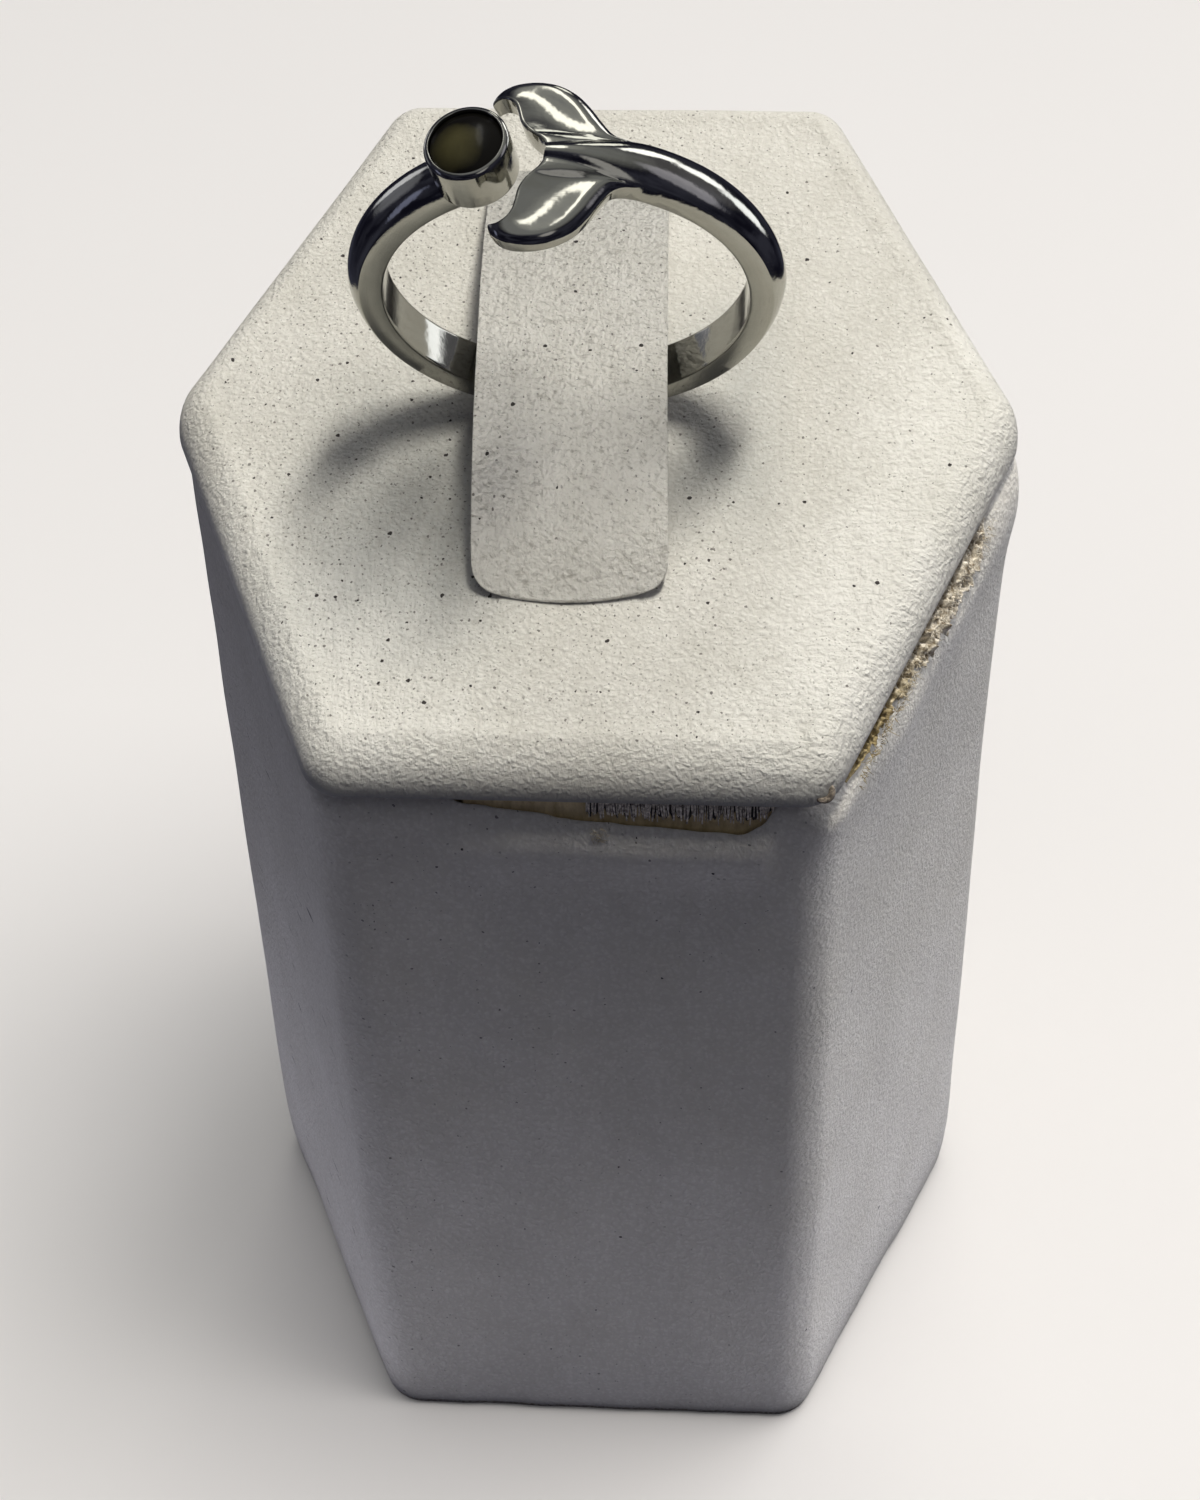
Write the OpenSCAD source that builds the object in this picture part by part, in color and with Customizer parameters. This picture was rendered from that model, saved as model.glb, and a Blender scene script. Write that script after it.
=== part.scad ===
// Open ring with a whale tail and a set stone, on its slanted six-sided display stand.
// Millimetres. +Z is up, -Y is the front, and the origin is the middle of the stand's base.

/* [Stand] */
// Width of the stand across its side corners
stand_w = 43; // [40:0.5:50]
// Depth of the stand from front face to back face
stand_d = 42; // [40:0.5:50]
// Width of the front and back faces
face_w = 24; // [20:0.5:26]
// Height of the slanted top at its middle
stand_h = 56; // [40:1:80]
// Slope of the top, which is low at the front
top_slope = 16.5; // [10:0.5:20]
// Thickness of the padded top panel
panel_t = 2.4; // [2:0.1:3]
// Radius of the panel's padded upper edge
panel_edge = 1.6; // [1:0.1:1.8]
// Thickness of the leatherette round the column
wrap_t = 1; // [0.8:0.1:1.5]
// Radius of the column's upright edges
upright_r = 2.2; // [1.8:0.1:3]
// Depth of the gap where the front seam is torn
front_tear = 1.4; // [0.5:0.1:2]
// Depth of the gap where the right seam is torn
side_tear = 0.9; // [0.4:0.1:1.5]

/* [Clip tongue] */
// Width of the strip that holds the ring down
tongue_w = 9.3; // [6:0.1:11]
// Thickness of the strip
tongue_t = 0.85; // [0.6:0.05:1]
// Distance from the middle of the top to the strip's free end
tongue_front = 12.8; // [10:0.1:15]
// Distance from the middle of the top to the slot that holds its other end
tongue_back = 15; // [13:0.1:16]
// Turn of the strip on the stand's top
tongue_turn = 2.1; // [0:0.1:4]

/* [Band] */
// Inner diameter of the band
ring_bore = 17; // [16:0.5:19]
// Width of the band along the finger
band_w = 2.3; // [2:0.1:2.8]
// Height of the band's flat side faces
side_t = 1.1; // [0.8:0.05:1.2]
// Thickness of the band at its crown
crown_t = 1.7; // [1.4:0.05:2]
// Thickness of the band where it passes under the strip
back_t = 1.25; // [1.2:0.05:1.4]
// Lean of the ring towards the front, from square to the top
ring_lean = 9.7; // [5:0.1:12]

/* [Stone setting] */
// Outer diameter of the cup
cup_d = 3.8; // [3.4:0.1:4.2]
// Height of the cup
cup_h = 2.35; // [2.2:0.05:2.6]
// Thickness of the rim round the stone
rim_t = 0.26; // [0.2:0.01:0.4]
// Place of the cup's rim, as an angle from the top of the ring
cup_angle = -19.5; // [-21:0.1:-18]
// Height of the middle of the rim above the bore
cup_rise = 2.8; // [2.6:0.05:3]
// Tip of the cup from radial towards the top
cup_tip = 10.8; // [5:0.1:14]

/* [Tail] */
// Scale of the flukes along the finger
fluke_reach = 1; // [0.9:0.01:1.05]
// Radius of the flukes' rounded leading edge
lead_r = 0.55; // [0.3:0.05:0.6]
// Radius of the flukes' thin trailing edge
trail_r = 0.15; // [0.1:0.01:0.2]

/* [Hidden] */
seat_gap = 0.1;        // clearance between pieces that rest on each other
half_w = stand_w / 2;
half_d = stand_d / 2;
half_f = face_w / 2;
side_turn = atan2(half_w - half_f, half_d);  // turn of the front right face from square
wrap_in = 0.25;        // the panel stands this far proud of the column
wrap_fit = 0.1;        // clearance between the wrap and the board inside it
seam_h = stand_h - panel_t;  // height of the seam under the panel, at the middle
panel_corner = 2;      // radius of the panel's corners in plan
front_torn = [-2.9, 8.3];    // the front seam is torn between these places across the face
side_torn = [0.15, 0.85];    // the right seam is torn between these shares of its length
slot_fit = 0.15;       // clearance round the strip in the panel's slot
ring_r = ring_bore / 2;
ring_x = -0.75;        // middle of the ring, left of the stand's middle
ring_y = -1.39;        // middle of the ring along the slope
ring_turn = 1.3;       // turn of the ring on the top
ring_up = (ring_r + side_t) * cos(ring_lean) + band_w / 2 * sin(ring_lean) + seat_gap;
tongue_x = -0.89;      // middle of the strip, left of the stand's middle
edge_reach = tongue_w / 2 + ring_x - tongue_x;  // from the ring's middle to the strip's far edge
arch_play = 0.05;      // the strip's edges pass over the band with this much room
arch_h = ring_up + band_w / 2 * sin(ring_lean) + arch_play
    - sqrt(ring_r * ring_r - edge_reach * edge_reach) * cos(ring_lean);
arch_y = [-1.5, 3];    // the strip is level between these places along the slope
tip_flat = 1.3;        // length of the free end that lies on the panel
neck_dip = 0.22;       // the band is this much thinner just behind the tail
neck_at = 42;          // angle of the middle of that thinner stretch
neck_span = 50;        // angle from its middle to either end
band_end = -23;        // the band ends at this angle, under the cup
ridge_half = 0.5;      // half the width of the ridge between the flukes
ridge_span = [-6, 26]; // angles between which the ridge widens to the band
cup_seat = 0.95;       // depth of the hollow that the stone sits in
stone_fit = 0.04;      // clearance round and under the stone
tip_arc = 12.3;        // radius of the strip's slightly curved free end
leather = [0.86, 0.85, 0.82];
board = [0.72, 0.6, 0.36];
silver = [0.62, 0.62, 0.6];
olive = [0.3, 0.26, 0.14];

function mix(a, b, k) = a + (b - a) * k;
function clamp(v, lo, hi) = min(max(v, lo), hi);
function smooth(k) = k * k * (3 - 2 * k);

// Middles of the six corner arcs of the stand's outline, set in by a distance
function hex_corners(inset) =
    let (slant = norm([half_w - half_f, half_d]),
         d = half_d - inset,
         w = half_w - inset * slant / half_d,
         f = w - d * (half_w - half_f) / half_d)
    [[f, -d], [w, 0], [f, d], [-f, d], [-w, 0], [-f, -d]];

// Directions that the six faces look in, from the front face round to the left
function hex_faces() =
    [-90, -side_turn, side_turn, 90, 180 - side_turn, 180 + side_turn, 270];

// Outline of the stand with rounded corners, each corner an arc of a number of steps
function hex_outline(inset, r, steps) =
    let (middles = hex_corners(inset + r), looks = hex_faces())
    [for (i = [0:5], k = [0:steps])
        let (a = mix(looks[i], looks[i + 1], k / steps)) middles[i] + r * [cos(a), sin(a)]];

// The same outline as a flat shape with true arcs
module hex_plate(inset, r) {
    polygon(hex_outline(inset, r, 1));
    for (m = hex_corners(inset + r)) translate(m) circle(r, $fn = 64);
}

// Everything above the slanted plane at a height in the middle of the stand
module above(h) {
    translate([0, 0, h]) rotate([top_slope, 0, 0])
        translate([-stand_w, -stand_w, 0]) cube([2 * stand_w, 2 * stand_w, stand_h]);
}

// A place on the slanted top: X across, Y up the slope, Z square to it
module on_top() {
    translate([0, 0, stand_h]) rotate([top_slope, 0, 0]) children();
}

// Solid between closed rings of points that all have the same number of points
module loft(rings) {
    n = len(rings[0]);
    last = len(rings) - 1;
    points = [for (r = rings) for (p = r) p];
    sides = [for (i = [0:last - 1], j = [0:n - 1])
        let (a = i * n + j, b = i * n + (j + 1) % n, c = a + n, d = b + n)
        each [[a, c, b], [b, c, d]]];
    start = [for (j = [1:n - 2]) [0, j, j + 1]];
    finish = [for (j = [1:n - 2]) let (m = last * n) [m, m + j + 1, m + j]];
    polyhedron(points, concat(sides, start, finish), convexity = 8);
}

module stand_core() {
    inset = wrap_in + wrap_t + wrap_fit;
    color(board) difference() {
        linear_extrude(stand_h + half_d) hex_plate(inset, upright_r - wrap_t);
        above(seam_h - seat_gap);
    }
}

// Stretch of wall along the right-hand seam, from the front corner to the side corner
module right_seam_stretch(from, to) {
    corners = hex_corners(0);
    a = mix(corners[0], corners[1], from);
    length = norm(corners[1] - corners[0]) * (to - from);
    translate(a) rotate([0, 0, 90 - side_turn])
        translate([0, -wrap_t, 0]) cube([length, 4 * wrap_t, 2 * stand_h]);
}

module side_wrap() {
    color(leather) difference() {
        linear_extrude(stand_h + half_d) difference() {
            hex_plate(wrap_in, upright_r);
            hex_plate(wrap_in + wrap_t, upright_r - wrap_t);
        }
        above(seam_h - seat_gap);
        intersection() {
            above(seam_h - front_tear);
            translate([front_torn[0], -half_d - wrap_t, 0])
                cube([front_torn[1] - front_torn[0], 3 * wrap_t, 2 * stand_h]);
        }
        intersection() {
            above(seam_h - side_tear);
            right_seam_stretch(side_torn[0], side_torn[1]);
        }
    }
}

// One ring of points round the panel, on a plane parallel to the slanted top
function panel_ring(inset, drop) =
    [for (p = hex_outline(inset, panel_corner, 6))
        [p[0], p[1], stand_h - drop + p[1] * tan(top_slope)]];

module top_panel() {
    under_r = 0.5;
    arc_steps = 5;
    under = [for (k = [0:2]) let (a = 45 * k)
        panel_ring(under_r * (1 - sin(a)), panel_t - under_r * (1 - cos(a)))];
    over = [for (k = [0:arc_steps]) let (a = 90 * k / arc_steps)
        panel_ring(panel_edge * (1 - cos(a)), panel_edge * (1 - sin(a)))];
    color(leather) difference() {
        loft(concat(under, over));
        on_top() turn_tongue()
            translate([-tongue_w / 2 - slot_fit, tongue_back - slot_fit, -2 * panel_t])
                cube([tongue_w + 2 * slot_fit, tongue_t + 2 * slot_fit, 4 * panel_t]);
    }
}

module turn_tongue() {
    translate([tongue_x, 0, 0]) rotate([0, 0, tongue_turn]) children();
}

// Height of the strip's underside above the top: it rises out of the slot, passes over the
// band, which is widest apart under the strip's two edges, and comes down to the free end
function tongue_lift(y) =
    let (rise = (y + tongue_front - tip_flat) / (arch_y[0] + tongue_front - tip_flat),
         fall = (y - arch_y[1]) / (tongue_back - arch_y[1]))
    arch_h * smooth(clamp(rise, 0, 1)) * (1 - pow(clamp(fall, 0, 1), 2));

module clip_tongue() {
    steps = 36;
    leg = 0.8 * panel_t;
    under = [for (k = [0:steps]) let (y = mix(-tongue_front, tongue_back, k / steps))
        [y, tongue_lift(y) + seat_gap]];
    over = [for (k = [steps:-1:0]) let (y = mix(-tongue_front, tongue_back, k / steps))
        [y, tongue_lift(y) + seat_gap + tongue_t]];
    outline = concat(
        under,
        [[tongue_back, -leg], [tongue_back + tongue_t, -leg]],
        [[tongue_back + tongue_t, seat_gap + tongue_t / 2]],
        over);
    color(leather) on_top() turn_tongue() intersection() {
        rotate([90, 0, 90]) translate([0, 0, -tongue_w / 2])
            linear_extrude(tongue_w) polygon(outline);
        translate([0, 0, -panel_t]) linear_extrude(3 * panel_t) {
            translate([0, tip_arc - tongue_front]) circle(tip_arc, $fn = 96);
            translate([-tongue_w, 0]) square([2 * tongue_w, tongue_back + 2 * tongue_t]);
        }
    }
}

// The ring's own frame: X right, Y to its top, Z along the finger towards the front
module ring_frame() {
    on_top() translate([ring_x, ring_y, ring_up])
        rotate([90 + ring_lean, 0, ring_turn]) children();
}

// A point of the ring: angle from its top, distance from its middle, place along the finger
function at(angle, r, z) = [r * sin(angle), r * cos(angle), z];

// Thickness of the band's crown round the ring, thinner under the strip and behind the tail
function band_t(angle) =
    mix(back_t, crown_t, clamp(1 + cos(angle), 0, 1))
        - neck_dip * pow(cos(90 * clamp((angle - neck_at) / neck_span, -1, 1)), 2);

// Half of the band's width, which narrows to a ridge between the flukes
function band_half(angle) =
    let (k = (angle - ridge_span[0]) / (ridge_span[1] - ridge_span[0]))
    mix(ridge_half, band_w / 2, smooth(clamp(k, 0, 1)));

// One cross-section of the band: flat inside, flat sides and a domed crown
function band_section(angle) =
    let (w = band_half(angle),
         t = band_t(angle),
         ease = 0.15,
         side = min(side_t, t - ease),
         steps = 8)
    concat(
        [at(angle, ring_r + ease, -w), at(angle, ring_r, -w + ease)],
        [at(angle, ring_r, w - ease), at(angle, ring_r + ease, w)],
        [for (k = [0:steps]) let (a = 180 * k / steps)
            at(angle, ring_r + side + (t - side) * sin(a), w * cos(a))]);

module band() {
    tail_end = -2;
    steps = 72;
    loft([for (k = [0:steps]) band_section(mix(360 + band_end, tail_end, k / steps))]);
}

// Rows across one fluke, from the ridge between the flukes to its tip. Columns:
// leading edge angle and reach, trailing edge angle and reach,
// leading and trailing height above the bore, and hollow between them
fluke_rows = [
    [27.0, 0.55, -1.8, 0.00, 1.42, 1.60, 0.00],
    [21.0, 1.02, -2.4, 0.35, 1.36, 1.56, 0.10],
    [16.0, 1.42, -4.2, 0.80, 1.30, 1.50, 0.28],
    [12.8, 2.08, -6.9, 1.25, 1.24, 1.45, 0.38],
    [9.7, 2.83, -8.9, 1.75, 1.20, 1.40, 0.40],
    [5.8, 3.53, -9.7, 2.30, 1.18, 1.35, 0.36],
    [0.6, 4.02, -10.6, 2.75, 1.18, 1.30, 0.30],
    [-5.3, 4.22, -12.2, 3.06, 1.18, 1.24, 0.18],
    [-10.8, 4.15, -14.3, 3.22, 1.16, 1.18, 0.08],
    [-14.3, 3.93, -16.2, 3.20, 1.10, 1.10, 0.00],
    [-16.5, 3.66, -17.4, 3.14, 0.96, 0.96, 0.00],
    [-17.6, 3.48, -18.0, 3.22, 0.74, 0.74, 0.00],
];

// Smooth curve through the rows at a place from 0 to the number of the last row
function row_at(t) =
    let (last = len(fluke_rows) - 1,
         i = min(floor(t), last - 1),
         k = t - i,
         p0 = fluke_rows[max(i - 1, 0)],
         p1 = fluke_rows[i],
         p2 = fluke_rows[i + 1],
         p3 = fluke_rows[min(i + 2, last)])
    0.5 * (2 * p1 + (p2 - p0) * k + (2 * p0 - 5 * p1 + 4 * p2 - p3) * k * k
        + (3 * p1 - p0 - 3 * p2 + p3) * k * k * k);

// Drop of a rounded edge of radius r at a distance from the edge
function edge_drop(far, r) = far >= r ? 0 : r - sqrt(r * r - (r - far) * (r - far));

// Distances from the trailing edge at which a fluke's top has its points
function across(wide, r_trail, r_lead) =
    let (flat = wide - r_trail - r_lead)
    concat(
        [for (a = [0, 30, 90]) r_trail * (1 - cos(a))],
        [for (k = [1:6]) r_trail + flat * k / 6],
        [for (a = [25, 45, 65, 90]) wide - r_lead * (1 - sin(a))]);

function fluke_section(t) =
    let (row = row_at(t),
         wide = norm([(row[0] - row[2]) * PI / 180 * ring_r, row[1] - row[3]]),
         lead_share = 0.45,
         trail_share = 0.3,
         r_lead = min(lead_r, lead_share * wide),
         r_trail = min(trail_r, trail_share * wide),
         under = 0.05)
    concat(
        [at(row[0], ring_r + under, row[1] * fluke_reach)],
        [at(row[2], ring_r + under, row[3] * fluke_reach)],
        [for (far = across(wide, r_trail, r_lead))
            let (v = far / wide,
                 h = mix(row[5], row[4], v) - row[6] * sin(180 * v)
                    - edge_drop(far, r_trail) - edge_drop(wide - far, r_lead))
            at(mix(row[2], row[0], v), ring_r + h, mix(row[3], row[1], v) * fluke_reach)]);

module fluke() {
    per_row = 3;
    last = (len(fluke_rows) - 1) * per_row;
    loft([for (k = [last:-1:0]) fluke_section(k / per_row)]);
}

// The cup's own frame: its origin is the middle of the rim and Z points out of it
module cup_frame() {
    translate(at(cup_angle, ring_r + cup_rise, 0))
        rotate([-90, 0, -(cup_angle + cup_tip)]) children();
}

module ring() {
    ease = 0.12;
    color(silver) ring_frame() difference() {
        union() {
            band();
            fluke();
            mirror([0, 0, 1]) fluke();
            cup_frame() rotate_extrude($fn = 96)
                polygon([[0, -cup_h], [cup_d / 2, -cup_h], [cup_d / 2, -ease],
                    [cup_d / 2 - ease, 0], [0, 0]]);
        }
        cup_frame() translate([0, 0, -cup_seat])
            cylinder(d = cup_d - 2 * rim_t, h = 2 * cup_seat, $fn = 96);
    }
}

module stone() {
    stone_r = cup_d / 2 - rim_t - stone_fit;
    girdle = 0.72;
    dome = 0.42;
    sphere_r = (stone_r * stone_r + dome * dome) / (2 * dome);
    color(olive) ring_frame() cup_frame() translate([0, 0, -cup_seat + stone_fit])
        rotate_extrude($fn = 96) {
            square([stone_r, girdle]);
            intersection() {
                translate([0, girdle]) square([stone_r, dome]);
                translate([0, girdle + dome - sphere_r]) circle(sphere_r, $fn = 128);
            }
        }
}

stand_core();
side_wrap();
top_panel();
clip_tongue();
ring();
stone();
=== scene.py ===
# %% [markdown]
# # A whale tail ring on its display stand
# The real object is two things made by two trades. A jeweller casts an open ring in silver-tone
# metal, with a whale's tail at one end and a cup for a round stone at the other. A box maker
# covers a six-sided block of board in off-white leatherette and pads its slanted top. A strip
# of the same leatherette holds the ring upright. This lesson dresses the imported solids, and
# their places are the fixed frame for everything that follows.

# %% Load the fixed frame
import random
from math import asin, atan, atan2, copysign, cos, degrees, hypot, pi, radians, sin, sqrt, tan

import bmesh
import bpy
import numpy as np
from mathutils import Matrix, Vector
from mathutils.noise import noise


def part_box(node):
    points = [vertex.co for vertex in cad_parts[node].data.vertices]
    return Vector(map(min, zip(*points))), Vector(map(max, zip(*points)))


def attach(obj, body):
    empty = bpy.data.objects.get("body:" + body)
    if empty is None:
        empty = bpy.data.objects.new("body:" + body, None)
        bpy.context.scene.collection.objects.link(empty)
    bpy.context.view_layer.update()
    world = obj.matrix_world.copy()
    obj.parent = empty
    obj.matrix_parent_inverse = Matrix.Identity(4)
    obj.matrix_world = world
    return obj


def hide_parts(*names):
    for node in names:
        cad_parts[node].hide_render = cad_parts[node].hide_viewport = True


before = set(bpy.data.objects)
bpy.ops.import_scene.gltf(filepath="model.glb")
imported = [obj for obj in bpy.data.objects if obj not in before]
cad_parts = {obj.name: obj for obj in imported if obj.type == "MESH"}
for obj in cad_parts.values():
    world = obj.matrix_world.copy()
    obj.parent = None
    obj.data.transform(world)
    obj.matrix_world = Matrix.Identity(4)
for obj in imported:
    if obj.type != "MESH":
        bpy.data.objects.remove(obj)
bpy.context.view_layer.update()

print("nodes:", sorted(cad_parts))

# %% [markdown]
# ## Sizes
# Everything is modelled in millimetres, because that is how a jeweller measures, and it is
# scaled to metres when a piece is finished. The outline of the stand comes from the frame.
# The slanted top is a place of its own: X across, Y up the slope, Z square to it. The ring
# stands on it in a second place of its own, leaning towards the viewer.

# %% Name the stand's sizes
MM = 0.001
HALF_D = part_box("top_panel")[1].y / MM
SIDE_W = 21.5
HALF_F = 12.0
TOP_Z = 56.0
PANEL_T = 2.4
SEAM_Z = TOP_Z - PANEL_T
SLOPE = radians(16.5)
CORNERS = [(HALF_F, -HALF_D), (SIDE_W, 0), (HALF_F, HALF_D),
           (-HALF_F, HALF_D), (-SIDE_W, 0), (-HALF_F, -HALF_D)]
print("the stand is", 2 * SIDE_W, "mm wide over its corners and", round(2 * HALF_D, 2), "mm deep")


# %% Set up the two places on the stand
def placed(spot, **turns):
    """A place at a spot, turned about the named axes, one after the other."""
    place = Matrix.Translation(spot)
    for axis, angle in turns.items():
        place = place @ Matrix.Rotation(angle, 4, axis)
    return place


BORE_R = 8.5
BAND_HALF = 1.15
SIDE_T = 1.1
RING_LEAN = radians(9.7)
RING_TURN = radians(1.3)
ring_height = (BORE_R + SIDE_T) * cos(RING_LEAN) + BAND_HALF * sin(RING_LEAN) + 0.1
RING_SPOT = (-0.75, -1.39, ring_height)
ON_TOP = placed((0, 0, TOP_Z), X=SLOPE)
IN_RING = ON_TOP @ placed(RING_SPOT, Z=RING_TURN, X=radians(90) + RING_LEAN)
print("the ring's middle is at", [round(x, 2) for x in IN_RING.translation])


# %% Small helpers for numbers
def mix(a, b, k):
    return a + (b - a) * k


def clamp(x, low=0.0, high=1.0):
    return min(max(x, low), high)


def ease(k):
    k = clamp(k)
    return k * k * (3 - 2 * k)


def bump_at(x, middle, reach):
    """One at the middle, falling smoothly to nothing at the reach."""
    return ease(1 - abs(x - middle) / reach)


# %% Helpers that turn a finished bmesh into a piece of the object
def to_mesh(name, bm):
    mesh = bpy.data.meshes.new(name)
    bm.to_mesh(mesh)
    bm.free()
    return mesh


def into_scene(name, data):
    made = bpy.data.objects.new(name, data)
    bpy.context.scene.collection.objects.link(made)
    return made


def add_piece(name, bm, slot, *materials, place=Matrix.Identity(4), sharp=None):
    bmesh.ops.transform(bm, matrix=Matrix.Scale(MM, 4) @ place, verts=bm.verts)
    mesh = to_mesh(name, bm)
    mesh.shade_smooth()
    if sharp:
        mesh.set_sharp_from_angle(angle=radians(sharp))
    for material in materials:
        mesh.materials.append(material)
    piece = into_scene(name, mesh)
    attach(piece, "root")
    print(name, "has", len(mesh.polygons), "faces")
    return piece


# %% Helpers for grids, boxes, round edges and closed skins
def grid(bm, along, across, place):
    """Adds a grid, and puts each point where place(i, j) says."""
    made = bmesh.ops.create_grid(bm, x_segments=along, y_segments=across, size=0.5)
    for v in made["verts"]:
        v.co = place(round((v.co.x + 0.5) * along), round((v.co.y + 0.5) * across))


def add_box(bm, size, middle):
    made = bmesh.ops.create_cube(bm, size=1.0)["verts"]
    bmesh.ops.scale(bm, vec=size, verts=made)
    bmesh.ops.translate(bm, vec=middle, verts=made)


def round_off(bm, geom, size, segments, affect="EDGES", clamp_overlap=False):
    bmesh.ops.bevel(bm, geom=geom, offset=size, segments=segments, profile=0.5, affect=affect, material=-1,
                    clamp_overlap=clamp_overlap)


def second_skin(bm):
    """Closes an open skin with a copy of itself, and returns the points of the copy."""
    raised = bmesh.ops.extrude_face_region(bm, geom=list(bm.faces))["geom"]
    return [v for v in raised if isinstance(v, bmesh.types.BMVert)]


def face_outwards(bm):
    """Turns a closed shape right side out. A wrong guess shows as a negative volume."""
    bmesh.ops.recalc_face_normals(bm, faces=bm.faces)
    if bm.calc_volume(signed=True) < 0:
        bmesh.ops.reverse_faces(bm, faces=bm.faces)


# %% [markdown]
# ## Shader maths as plain sums
# A material is a small program drawn as nodes. Writing it as sums keeps it readable, so a
# socket is wrapped in a class whose operators add Math nodes. Every node comes from one
# method, which sets the node's own settings first and then fills or links its sockets. The
# same class serves the world later, and materials add the Principled shader to it.


# %% Wrap a socket so that sums add nodes
def sum_of(operation):
    return lambda signal, other=0.0: signal.nodes.sum(operation, signal, other)


class Signal:
    def __init__(self, nodes, socket):
        self.nodes = nodes
        self.socket = socket

    def __rsub__(self, other):
        return self.nodes.sum("SUBTRACT", other, self)

    __add__ = __radd__ = sum_of("ADD")
    __mul__ = __rmul__ = sum_of("MULTIPLY")
    __sub__ = sum_of("SUBTRACT")
    __pow__ = sum_of("POWER")
    __abs__ = sum_of("ABSOLUTE")
    __lt__ = sum_of("LESS_THAN")
    __gt__ = sum_of("GREATER_THAN")


# %% Add nodes through one class
class Nodes:
    def __init__(self, tree):
        self.tree = tree

    def node(self, kind, settings=(), *in_order, output=None, **sockets):
        """Settings come first. Inputs that share one name are filled in order."""
        made = self.tree.nodes.new(kind)
        for name, value in dict(settings).items():
            setattr(made, name, value)
        for socket, value in zip(made.inputs, in_order):
            self.fill(socket, value)
        for name, value in sockets.items():
            socket = next(s for s in made.inputs if s.enabled and s.name.replace(" ", "_") == name)
            self.fill(socket, value)
        shown = [s for s in made.outputs if s.enabled and output in (None, s.name)]
        return Signal(self, shown[0])

    def fill(self, socket, value):
        if isinstance(value, Signal):
            self.tree.links.new(value.socket, socket)
        else:
            socket.default_value = value

    def sum(self, operation, a, b=0.0):
        return self.node("ShaderNodeMath", {"operation": operation}, a, b)

    def dot(self, vector, way):
        return self.node("ShaderNodeVectorMath", {"operation": "DOT_PRODUCT"}, vector, way, output="Value")

    def part(self, vector, axis):
        return self.node("ShaderNodeSeparateXYZ", output=axis, Vector=vector)

    def noise(self, place, scale, detail=3.0, rough=0.55):
        return self.node("ShaderNodeTexNoise", output="Fac", Vector=place, Scale=scale, Detail=detail,
                         Roughness=rough)

    def blend(self, factor, a, b, kind="MIX"):
        a, b = ((*c, 1.0) if isinstance(c, tuple) else c for c in (a, b))
        return self.node("ShaderNodeMix", {"data_type": "RGBA", "blend_type": kind}, output="Result",
                         Factor=factor, A=a, B=b)

    def spread(self, value, low, high, to_low=0.0, to_high=1.0):
        """Carries a value from one range over to another, and stops at its ends."""
        return self.node("ShaderNodeMapRange", output="Result", Value=value, From_Min=low, From_Max=high,
                         To_Min=to_low, To_Max=to_high)


# %% Start every material from the Principled shader
class Paint(Nodes):
    def __init__(self, name, **settings):
        self.material = bpy.data.materials.new(name)
        self.material.use_nodes = True
        super().__init__(self.material.node_tree)
        self.shader = self.tree.nodes["Principled BSDF"]
        for socket, value in settings.items():
            self.shader.inputs[socket.replace("_", " ")].default_value = value

    def place(self, scale=(1, 1, 1), shift=(0, 0, 0)):
        """Object coordinates in millimetres, stretched and shifted."""
        metres = self.node("ShaderNodeTexCoord", output="Object")
        return self.node("ShaderNodeMapping", Vector=metres, Scale=[s / MM for s in scale], Location=shift)

    def shaken(self, spot, scale, reach):
        """Moves each spot by a noise, so that a pattern loses its straight lines."""
        shake = self.node("ShaderNodeTexNoise", output="Color", Vector=spot, Scale=scale, Detail=2.0)
        return self.node("ShaderNodeVectorMath", {"operation": "MULTIPLY_ADD"}, shake, reach, spot)

    def relief(self, height, distance, strength=1.0, under=None):
        made = {"Height": height, "Distance": distance * MM, "Strength": strength}
        if under:
            made["Normal"] = under
        return self.node("ShaderNodeBump", **made)

    def use(self, **signals):
        for socket, signal in signals.items():
            self.fill(self.shader.inputs[socket.replace("_", " ")], signal)
        return self.material


# %% [markdown]
# ## Leatherette
# Leatherette is cloth with a soft plastic skin that is embossed with a grain: a net of small
# pebbles, with short creases where it was bent and fine wrinkles where it is drawn over an
# edge. Dust and dark specks sit in it. The pebbles come from a Voronoi pattern, the creases
# from a stretched noise, and one recipe makes all three cuts: top, strip and side.


# %% Specks of dust: a dot in some of the cells of a Voronoi pattern
def dots(paint, spot, per_mm, chance, biggest):
    flat = {"voronoi_dimensions": "2D"}
    cells = {"Vector": spot, "Scale": per_mm}
    far = paint.node("ShaderNodeTexVoronoi", flat, output="Distance", **cells)
    lot = paint.node("ShaderNodeTexVoronoi", flat, output="Color", **cells)
    drawn, size = paint.part(lot, "X"), paint.part(lot, "Y")
    return (far < (size * size + 0.15) * (biggest * per_mm)) * (drawn < chance)


# %% Emboss the grain
def embossing(paint, spot, bent, pebble, coarse):
    """Soft pebbles, a coarser unevenness and a fine tooth, which is also given alone."""
    pebbles = paint.node("ShaderNodeTexVoronoi", {"feature": "SMOOTH_F1"}, output="Distance", Vector=bent,
                         Scale=1 / pebble, Smoothness=0.6)
    fine = paint.noise(spot, 8.0, 5.0, 0.75)
    uneven = paint.noise(paint.place((1.3, 0.9, 1.0)), 3.2, 4.0)
    return pebbles * -0.6 + uneven * coarse + fine * 0.8, fine


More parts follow.
